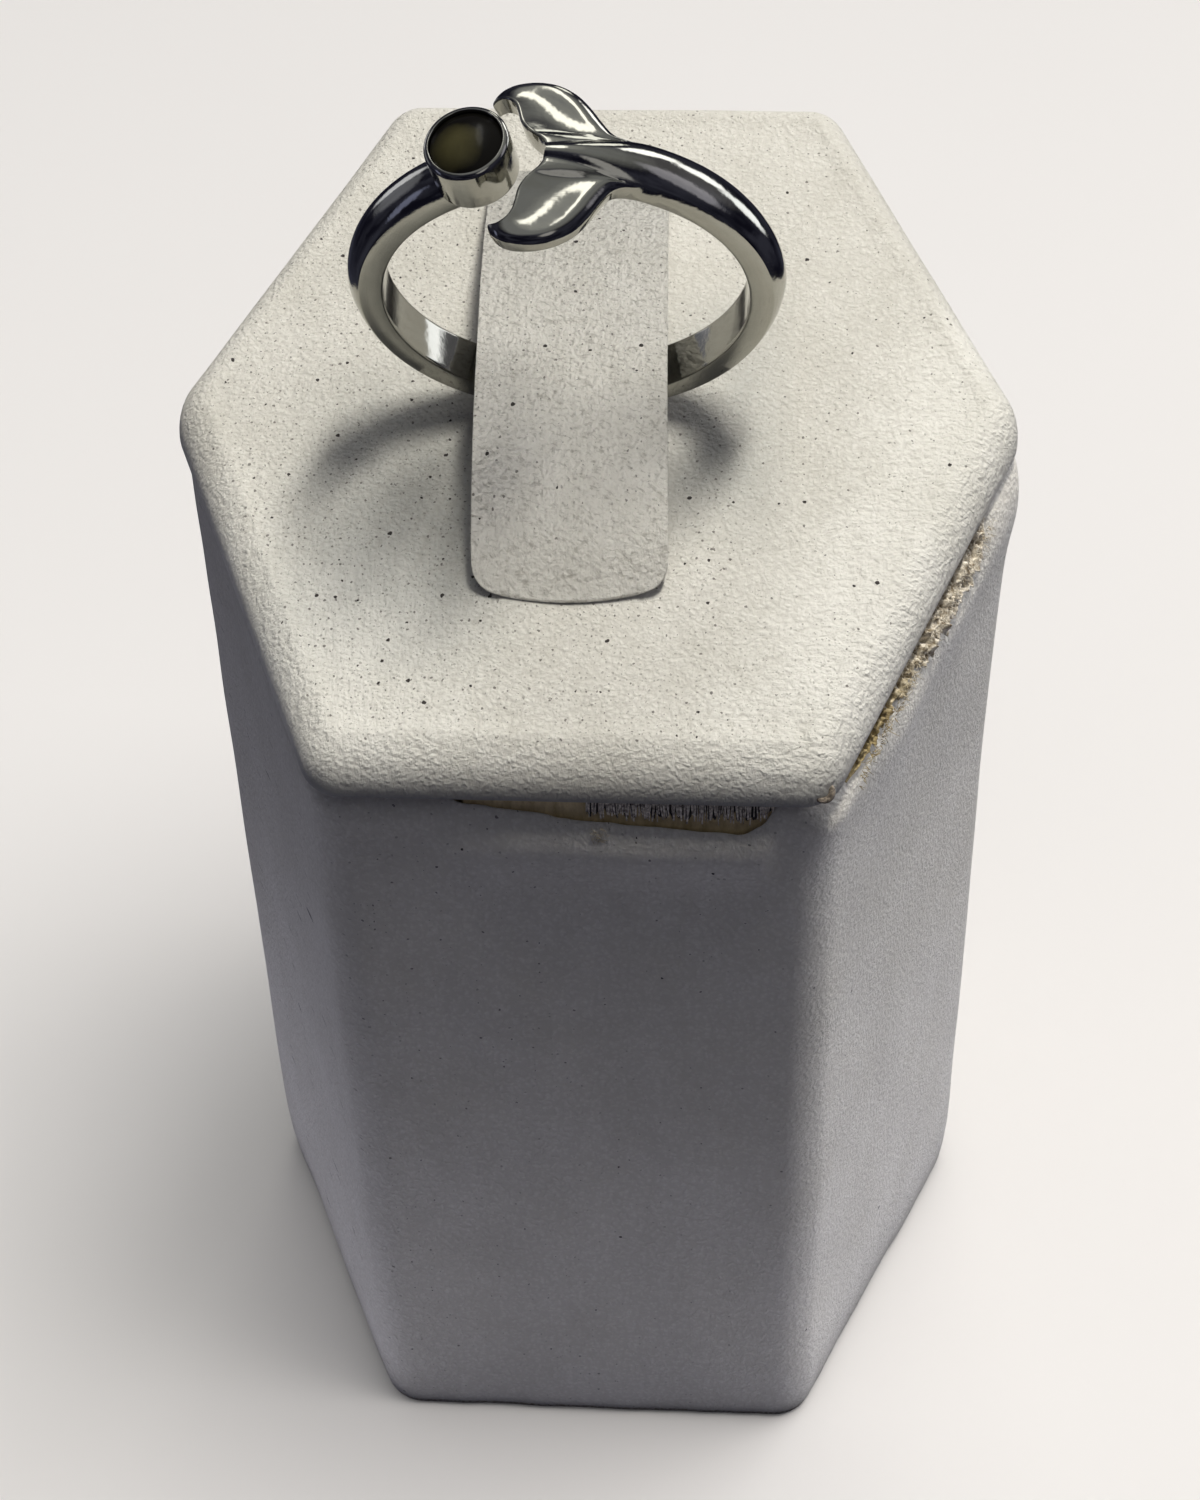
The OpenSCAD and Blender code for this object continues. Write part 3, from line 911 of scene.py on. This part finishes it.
strip = add_piece("holding_strip", bent_strip(), "leatherette", strip_skin, place=ON_TOP @ IN_STRIP, sharp=50)
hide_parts("clip_tongue")

# %% [markdown]
# ## Polished metal
# The ring is plated and polished, so its colour is mostly what it reflects. A little unevenness
# in the gloss, hairline scratches and a faint warm cast keep it from looking like a mirror.


# %% Mix the metal
def polished_metal():
    paint = Paint("polished_metal", Metallic=1.0)
    spot = paint.place()
    smear = paint.noise(spot, 0.8, 4.0)
    hairline = paint.noise(paint.place((1.0, 9.0, 9.0)), 1.6, 2.0)
    colour = paint.blend(smear, (0.33, 0.325, 0.29), (0.41, 0.405, 0.365))
    ripple = paint.relief(paint.noise(spot, 1.3, 2.0), 0.02, 0.6)
    return paint.use(Base_Color=colour, Roughness=paint.spread(smear, 0.3, 0.7, 0.06, 0.12),
                     Normal=paint.relief(hairline, 0.003, 0.5, under=ripple))


metal = polished_metal()

# %% [markdown]
# ## The ring, cut flat and bent round a mandrel
# A jeweller can make this ring as a flat blank: a long strip that opens into two flukes, with
# its relief filed on the upper face. It is then bent round a mandrel of the finger's size.
# The model is made in the same way. A grid is pulled to the blank's outline, extruded into a
# slab, its top is raised to the relief, and each point is then bent round the bore.

# %% The band's relief: flat sides and a domed crown
BAND_START, BAND_END = 30.0, 337.0
CROWN_T, BACK_T = 1.7, 1.25
DIP, DIP_MIDDLE, DIP_REACH = 0.22, 42.0, 50.0
RIDGE_HALF = 0.5
SMALL_R = 0.13


def crown_at(angle):
    """The crown thins towards the back, and dips where the band runs into the tail."""
    full = mix(BACK_T, CROWN_T, clamp(1 + cos(radians(angle))))
    return full - DIP * cos(pi / 2 * clamp((angle - DIP_MIDDLE) / DIP_REACH, -1, 1)) ** 2


def ridge_half(angle):
    return mix(RIDGE_HALF, BAND_HALF, ease((angle + 6) / 32))


def dome(angle, z):
    half, crown = ridge_half(angle), crown_at(angle)
    side = min(SIDE_T, crown - 0.15)
    if abs(z) > half:
        return side - 3 * (abs(z) - half)
    return side + (crown - side) * (1 - (z / half) ** 2) ** 0.8


# %% The tail's rows, from the ridge out to a fluke's tip
# Leading edge angle and reach, trailing edge angle and reach, leading and trailing height,
# hollow between them, and radius of the leading roll.
TAIL_ROWS = [
    (30.0, 0.00, -1.8, 0.00, 0.95, 1.52, 0.00, 0.05),
    (30.0, 1.15, -3.0, 0.55, 0.95, 1.50, 0.02, 0.05),
    (24.5, 1.14, -3.9, 0.76, 1.05, 1.49, 0.08, 0.15),
    (20.0, 1.20, -5.0, 0.93, 1.20, 1.48, 0.18, 0.32),
    (16.0, 1.42, -6.0, 1.08, 1.30, 1.46, 0.30, 0.62),
    (12.8, 2.08, -7.3, 1.32, 1.32, 1.45, 0.36, 0.78),
    (9.7, 2.83, -8.9, 1.75, 1.30, 1.40, 0.38, 0.84),
    (5.8, 3.53, -9.7, 2.30, 1.28, 1.35, 0.36, 0.86),
    (0.6, 4.02, -10.6, 2.75, 1.28, 1.30, 0.30, 0.84),
    (-5.3, 4.22, -12.2, 3.06, 1.26, 1.26, 0.18, 0.78),
    (-10.8, 4.15, -14.3, 3.22, 1.22, 1.20, 0.06, 0.64),
    (-14.3, 3.93, -16.2, 3.20, 1.12, 1.12, 0.00, 0.46),
    (-16.5, 3.66, -17.4, 3.14, 0.98, 0.98, 0.00, 0.30),
    (-17.6, 3.48, -18.0, 3.22, 0.74, 0.74, 0.00, 0.12),
]


def tail_row(t):
    """The row at a place between the rows: straight across the ridge, a smooth curve beyond it."""
    rows = [np.array(r) for r in TAIL_ROWS]
    if t <= 1:
        return mix(rows[0], rows[1], t)
    i = min(int(t), len(rows) - 2)
    k = t - i
    p0, p1, p2, p3 = rows[max(i - 1, 1)], rows[i], rows[i + 1], rows[min(i + 2, len(rows) - 1)]
    return 0.5 * (2 * p1 + (p2 - p0) * k + (2 * p0 - 5 * p1 + 4 * p2 - p3) * k ** 2
                  + (3 * p1 - p0 - 3 * p2 + p3) * k ** 3)


def flat_length(angle):
    return radians(angle) * BORE_R


# %% Distance from the blank's free edges
LAST_ROW = len(TAIL_ROWS) - 1
edge_rows = [tail_row(1 + (LAST_ROW - 1) * k / 120) for k in range(121)]
LEAD_EDGE = [(flat_length(70), BAND_HALF)] + [(flat_length(r[0]), r[1]) for r in edge_rows]
TRAIL_EDGE = [(flat_length(TAIL_ROWS[0][2]), 0.0)] + [(flat_length(r[2]), r[3]) for r in edge_rows]
TRAIL_EDGE.append(LEAD_EDGE[-1])


def distance_to(edge, u, z):
    points = np.array(edge)
    a, b = points[:-1], points[1:]
    run = b - a
    share = ((u - a[:, 0]) * run[:, 0] + (z - a[:, 1]) * run[:, 1]) / np.maximum((run ** 2).sum(1), 1e-12)
    share = np.clip(share, 0, 1)
    return float(np.hypot(a[:, 0] + share * run[:, 0] - u, a[:, 1] + share * run[:, 1] - z).min())


def rounded(far, r):
    """How far a rounded edge of radius r has dropped at a distance from the edge."""
    return 0.0 if far >= r else r - sqrt(max(0.0, r * r - (r - far) ** 2))


def soft_max(a, b, soft=0.10):
    near = max(soft - abs(a - b), 0.0) / soft
    return max(a, b) + near * near * soft / 4


# %% Lay out the lines of the tail's grid
ACROSS_BAND = 24
ALONG_BAND = 320
TAIL_LINES = 40
FLUKE_COLUMNS = 5 * (LAST_ROW - 1)


def tail_columns():
    """The columns of the tail's grid, from one tip to the other: side of the ridge and row."""
    fluke = [1 + (LAST_ROW - 1) * k / FLUKE_COLUMNS for k in range(1, FLUKE_COLUMNS + 1)]
    middle = [-cos(pi * j / ACROSS_BAND) for j in range(ACROSS_BAND + 1)]
    return ([(-1, t) for t in reversed(fluke)] + [(copysign(1, k), abs(k)) for k in middle]
            + [(1, t) for t in fluke])


def line_share(j):
    """Lines across a fluke lie closer together near its two edges."""
    k = j / TAIL_LINES
    return 0.5 - 0.5 * cos(pi * (0.35 * k + 0.65 * k ** 0.85)) if 0 < k < 1 else k


def tail_relief(t, v, u, z):
    """The height at a place of the tail, and its distance from the nearer edge."""
    row = tail_row(t)
    height = mix(row[5], row[4], v) - row[6] * sin(pi * v)
    lead, trail = distance_to(LEAD_EDGE, u, abs(z)), distance_to(TRAIL_EDGE, u, abs(z))
    fluke = height - rounded(lead, row[7]) - rounded(trail, SMALL_R)
    return soft_max(dome(degrees(u / BORE_R), z), fluke), min(lead, trail)


# %% Lay out the blank and raise its relief
def ring_blank():
    bm = bmesh.new()
    relief = bm.verts.layers.float.new("relief")
    edge_far = bm.verts.layers.float.new("edge_far")
    columns = tail_columns()
    heights = {}

    def tail_place(i, j):
        side, t = columns[i]
        row, v = tail_row(t), line_share(j)
        u = flat_length(mix(row[2], row[0], v))
        z = side * mix(row[3], row[1], v)
        heights[round(u, 5), round(z, 5)] = tail_relief(t, v, u, z)
        return Vector((u, z, 0))

    def band_place(i, j):
        angle = mix(BAND_START, BAND_END, i / ALONG_BAND)
        z = -BAND_HALF * cos(pi * j / ACROSS_BAND)
        u = flat_length(angle)
        heights.setdefault((round(u, 5), round(z, 5)), (dome(angle, z), BAND_HALF - abs(z)))
        return Vector((u, z, 0))

    grid(bm, len(columns) - 1, TAIL_LINES, tail_place)
    grid(bm, ALONG_BAND, ACROSS_BAND, band_place)
    bmesh.ops.remove_doubles(bm, verts=bm.verts, dist=0.002)
    for v in bm.verts:
        near = heights.get((round(v.co.x, 5), round(v.co.y, 5)))
        if near is None:
            near = min(heights.items(), key=lambda h: abs(h[0][0] - v.co.x) + abs(h[0][1] - v.co.y))[1]
        v[relief], v[edge_far] = near
    upper = set(second_skin(bm))
    for v in bm.verts:
        v.co.z = v[relief] if v in upper else rounded(v[edge_far], SMALL_R)
    high = max(v.co.z for v in bm.verts)
    print("the blank has", len(bm.verts), "points and stands", round(high, 2), "mm high")
    return bm


# %% Bend the blank round the mandrel
def bend_round_bore(bm):
    for v in bm.verts:
        angle, z, r = v.co.x / BORE_R, v.co.y, BORE_R + v.co.z
        v.co = (r * sin(angle), r * cos(angle), z)


# %% Turn the cup as on a lathe, to be soldered to the other end of the band
CUP_R, CUP_H, RIM_T, CUP_SEAT = 1.9, 2.35, 0.26, 0.95
FOOT_ROUND, LIP_ROUND, RIM_ROUND = 0.22, 0.24, 0.05
CUP_ANGLE = radians(-19.5)
CUP_MIDDLE = BORE_R + 2.8
CUP_TIP = radians(10.8)
IN_CUP = placed((CUP_MIDDLE * sin(CUP_ANGLE), CUP_MIDDLE * cos(CUP_ANGLE), 0),
                Z=-(CUP_ANGLE + CUP_TIP), X=radians(-90))


def arc(middle_r, middle_z, r, from_deg, to_deg, steps):
    turns = [radians(mix(from_deg, to_deg, k / steps)) for k in range(steps + 1)]
    return [(middle_r + r * cos(a), middle_z + r * sin(a)) for a in turns]


def turned(outline, steps=128):
    """Spins an outline of radius and height round the upright axis."""
    bm = bmesh.new()
    points = [bm.verts.new((r, 0, z)) for r, z in outline]
    edges = [bm.edges.new(pair) for pair in zip(points, points[1:])]
    bmesh.ops.spin(bm, geom=points + edges, cent=(0, 0, 0), axis=(0, 0, 1), angle=2 * pi, steps=steps,
                   use_merge=True)
    bmesh.ops.remove_doubles(bm, verts=bm.verts, dist=0.0005)
    face_outwards(bm)
    return bm


def stone_cup():
    outline = [(0, -CUP_H)]
    outline += arc(CUP_R - FOOT_ROUND, -CUP_H + FOOT_ROUND, FOOT_ROUND, -90, 0, 6)
    outline += arc(CUP_R - LIP_ROUND, -LIP_ROUND, LIP_ROUND, 0, 80, 8)
    outline += arc(CUP_R - RIM_T + RIM_ROUND, -RIM_ROUND, RIM_ROUND, 90, 180, 4)
    outline += [(CUP_R - RIM_T, -CUP_SEAT), (0, -CUP_SEAT)]
    return turned(outline)


# %% Join band, tail and cup into one piece of metal
metalwork = ring_blank()
bend_round_bore(metalwork)
face_outwards(metalwork)
cup = stone_cup()
bmesh.ops.transform(cup, matrix=IN_CUP, verts=cup.verts)
carrier = to_mesh("cup_carrier", cup)
metalwork.from_mesh(carrier)
bpy.data.meshes.remove(carrier)
ring = add_piece("whale_ring", metalwork, "silver", metal, place=IN_RING, sharp=38)
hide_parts("ring")

# %% [markdown]
# ## The cabochon
# The stone is a low dome, cut without facets and nearly opaque: olive brown, and nearly black
# round its edge. It is turned too. The lighter part is a painted glow of light coming through the
# dome. It is painted from the distance to a point inside the stone, and a cloudy noise keeps it
# from being a perfect circle.

# %% Mix the stone
STONE_R = CUP_R - RIM_T - 0.03
STONE_PLACE = IN_RING @ IN_CUP


def olive_stone():
    paint = Paint("olive_stone", Roughness=0.16, Coat_Weight=0.06, Coat_Roughness=0.03, IOR=1.5,
                  Specular_IOR_Level=0.10)
    spot = paint.place(shift=tuple(-c for c in STONE_PLACE.translation))
    across = paint.dot(spot, STONE_PLACE.to_3x3() @ Vector((1, 0, 0)))
    down = paint.dot(spot, STONE_PLACE.to_3x3() @ Vector((0, 1, 0)))
    # Painted glow: the colour is lighter near a point at the stone's lower left, standing for light that
    # comes through the dome.
    glow = ((across + 0.35) ** 2.0 + (down + 0.25) ** 2.0) * 0.55
    cloud = paint.noise(spot, 1.2, 4.0, 0.6) * 0.5
    return paint.use(Base_Color=paint.blend(paint.spread(glow + cloud, 0.25, 1.1), (0.20, 0.175, 0.068),
                                            (0.018, 0.016, 0.012)))


# %% Turn the dome and set it in the cup
GIRDLE_H, DOME_H = 0.72, 0.42


def cabochon():
    base = -CUP_SEAT + 0.03
    sphere_r = (STONE_R ** 2 + DOME_H ** 2) / (2 * DOME_H)
    half = degrees(asin(STONE_R / sphere_r))
    dome_arc = arc(0, base + GIRDLE_H + DOME_H - sphere_r, sphere_r, 90 - half, 90, 16)
    return turned([(0, base), (STONE_R, base)] + dome_arc)


stone = add_piece("cabochon", cabochon(), "stone", olive_stone(), place=STONE_PLACE, sharp=40)
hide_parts("stone")

# %% [markdown]
# ## The studio
# The object stands on a plain pale floor. Soft lamps hang almost overhead, a window of light
# stands on the right, and faint lamps on the floor are the light that it throws back. Light
# linking gives each lamp its own things to light, as a photographer does with flags: the roll
# of the padded top stays dark below, because the floor's front lamp leaves the top out, and a
# painted shade in the top's colour darkens it further.


# %% Lay the floor
def pale_floor():
    paint = Paint("pale_floor", Roughness=0.9)
    cloudy = paint.noise(paint.place(), 0.01, 2.0)
    return paint.use(Base_Color=paint.blend(cloudy, (0.86, 0.84, 0.81), (0.88, 0.86, 0.83)))


floor_grid = bmesh.new()
bmesh.ops.create_grid(floor_grid, x_segments=1, y_segments=1, size=2.0)
floor = into_scene("floor", to_mesh("floor", floor_grid))
floor.data.materials.append(pale_floor())
floor.visible_diffuse = False
floor.visible_glossy = False


# %% Helpers for lamps
def lamp(name, at, look, size, watts, colour, things):
    """A soft lamp that lights the things of one group and nothing else."""
    data = bpy.data.lights.new(name, "AREA")
    data.shape = "RECTANGLE"
    data.size, data.size_y = size
    data.energy = watts
    data.color = colour
    made = into_scene(name, data)
    made.location = at
    made.rotation_euler = (Vector(look) - Vector(at)).to_track_quat("-Z", "Y").to_euler()
    group = bpy.data.collections.new(name + "_lights")
    for thing in things:
        group.objects.link(thing)
    made.light_linking.receiver_collection = group
    return made


def floor_glow(name, toward, watts, things):
    """The light that the floor throws back at one of the stand's faces."""
    turn = radians(toward)
    x, y = (side * (HALF_D + 30) * MM for side in (cos(turn), sin(turn)))
    made = lamp(name, (x, y, 0.0005), (x, y, 1), (0.06, 0.06), watts, (0.92, 0.91, 1.03), things)
    made.rotation_euler = (pi, 0, turn)


# %% Hang the lamps
TOP, MIDDLE, FOOT = (0, 0, 0.06), (0, 0, 0.04), (0, 0, 0)
dressed = [thing for thing in bpy.context.scene.objects if thing.type == "MESH" and thing != floor]
sides = [thing for thing in dressed if thing not in (ring, stone, top, strip)]
lamp("overhead_lamp", (0.048, -0.012, 0.27), TOP, (0.096, 0.026), 0.59, (0.985, 0.96, 0.875), [top, strip])
lamp("side_overhead_lamp", (0.038, 0.001, 0.27), TOP, (0.075, 0.022), 0.60, (1.0, 0.955, 0.87), sides)
lamp("right_window", (0.55, 0.16, 0.24), MIDDLE, (0.3, 0.3), 1.80, (0.98, 0.98, 1.0), sides)
lamp("strip_lamp", (0.0, -0.19, 0.125), TOP, (0.08, 0.08), 0.32, (1.0, 0.97, 0.91), [strip])
floor_glow("front_floor_glow", -90, 0.0029, [*sides, strip])
floor_glow("left_floor_glow", 204.3, 0.0073, [*sides, top, strip])
floor_glow("right_floor_glow", -24.3, 0.0072, [*sides, top, strip])
lamp("backdrop_lamp", (0.33, 0.01, 0.90), FOOT, (0.55, 0.55), 5.45, (1.0, 0.97, 0.945), [floor])
lamp("backdrop_fill", (-0.25, -0.35, 1.1), FOOT, (1.4, 1.4), 2.72, (1.0, 0.985, 0.965), [floor])

# %% [markdown]
# ## The room that the metal sees
# Polished metal shows the room it stands in. Each highlight on the ring was traced back to
# the direction it comes from: a grey ceiling with a light tube, a window in bars behind on
# the right, a dimmer one on the left, and dark walls. The room is a world made of such soft
# patches, and no lamp is linked to the ring and its stone.

# %% List the patches
# Name, direction and height in degrees, half width and half height in degrees, and colour.
PATCHES = [
    ("ceiling", 0, 90, 48, 48, (0.27, 0.275, 0.26)),
    ("tube_light", 96, 74, 5, 24, (2.6, 2.55, 2.4)),
    ("tube_shade", 100, 76, 15, 32, (0.17, 0.17, 0.16)),
    ("back_lamp", 82, 33, 6, 12, (2.2, 2.2, 2.05)),
    ("window_bar_high", 57, 36, 9, 14, (3.2, 3.2, 3.2)),
    ("window_bar_middle", 44, 21, 9, 12, (2.8, 2.8, 2.9)),
    ("window_bar_low", 35, 2, 9, 15, (2.3, 2.35, 2.45)),
    ("right_wall", 22, 30, 24, 26, (0.13, 0.128, 0.13)),
    ("lavender_wall", -2, 30, 14, 26, (0.46, 0.45, 0.52)),
    ("left_window", 137, 8, 11, 15, (1.05, 1.06, 1.14)),
    ("left_wall", 160, 10, 22, 17, (0.21, 0.215, 0.24)),
    ("blue_bar", 198, -2, 7, 19, (0.24, 0.26, 0.40)),
    ("front_lamp", -72, 28, 12, 20, (0.52, 0.51, 0.50)),
]

# %% Build the room from them
world = bpy.data.worlds.new("room")
bpy.context.scene.world = world
world.use_nodes = True
room = Nodes(world.node_tree)
look = room.node("ShaderNodeTexCoord", output="Generated")
gloom = room.spread(room.noise(look, 2.2, 2.0), 0.40, 0.62)
light = room.blend(gloom, (0.010, 0.010, 0.020), (0.052, 0.054, 0.080))
for name, direction, height, half_wide, half_high, colour in PATCHES:
    a, h = radians(direction), radians(height)
    toward = Vector((cos(a) * cos(h), sin(a) * cos(h), sin(h)))
    side = Vector((-sin(a), cos(a), 0))
    wide = room.dot(look, side) * (1 / sin(radians(half_wide)))
    high = room.dot(look, toward.cross(side)) * (1 / sin(radians(half_high)))
    inside = room.spread(1 - wide * wide - high * high, 0.0, 0.55) * (room.dot(look, toward) > 0.0)
    light = room.blend(inside, light, colour, kind="ADD")
room.fill(room.tree.nodes["Background"].inputs["Color"], light)
print("the room has", len(PATCHES), "patches of light")

# %% [markdown]
# ## The camera
# The camera stands in front of the stand, a little to the right, and looks down on it at forty
# degrees. Its distance and lens were solved from the corners of the stand and the ring.

# %% Set up the camera
CAMERA_TARGET = Vector((-0.73, 5.84, 28.0)) * MM
CAMERA_DISTANCE = 151.57 * MM
PITCH, YAW, TILT = (radians(a) for a in (40.15, -4.76, -1.81))
camera_data = bpy.data.cameras.new("camera")
camera_data.sensor_width = 36.0
camera_data.lens = 61.94
camera_data.clip_start = 0.01
camera = into_scene("camera", camera_data)
camera.matrix_world = (placed(CAMERA_TARGET, Z=-YAW, X=radians(90) - PITCH)
                       @ placed((0, 0, CAMERA_DISTANCE), Z=TILT))
bpy.context.scene.camera = camera
bpy.context.scene.view_settings.view_transform = "Standard"
print("the camera is at", [round(x, 4) for x in camera.matrix_world.translation])
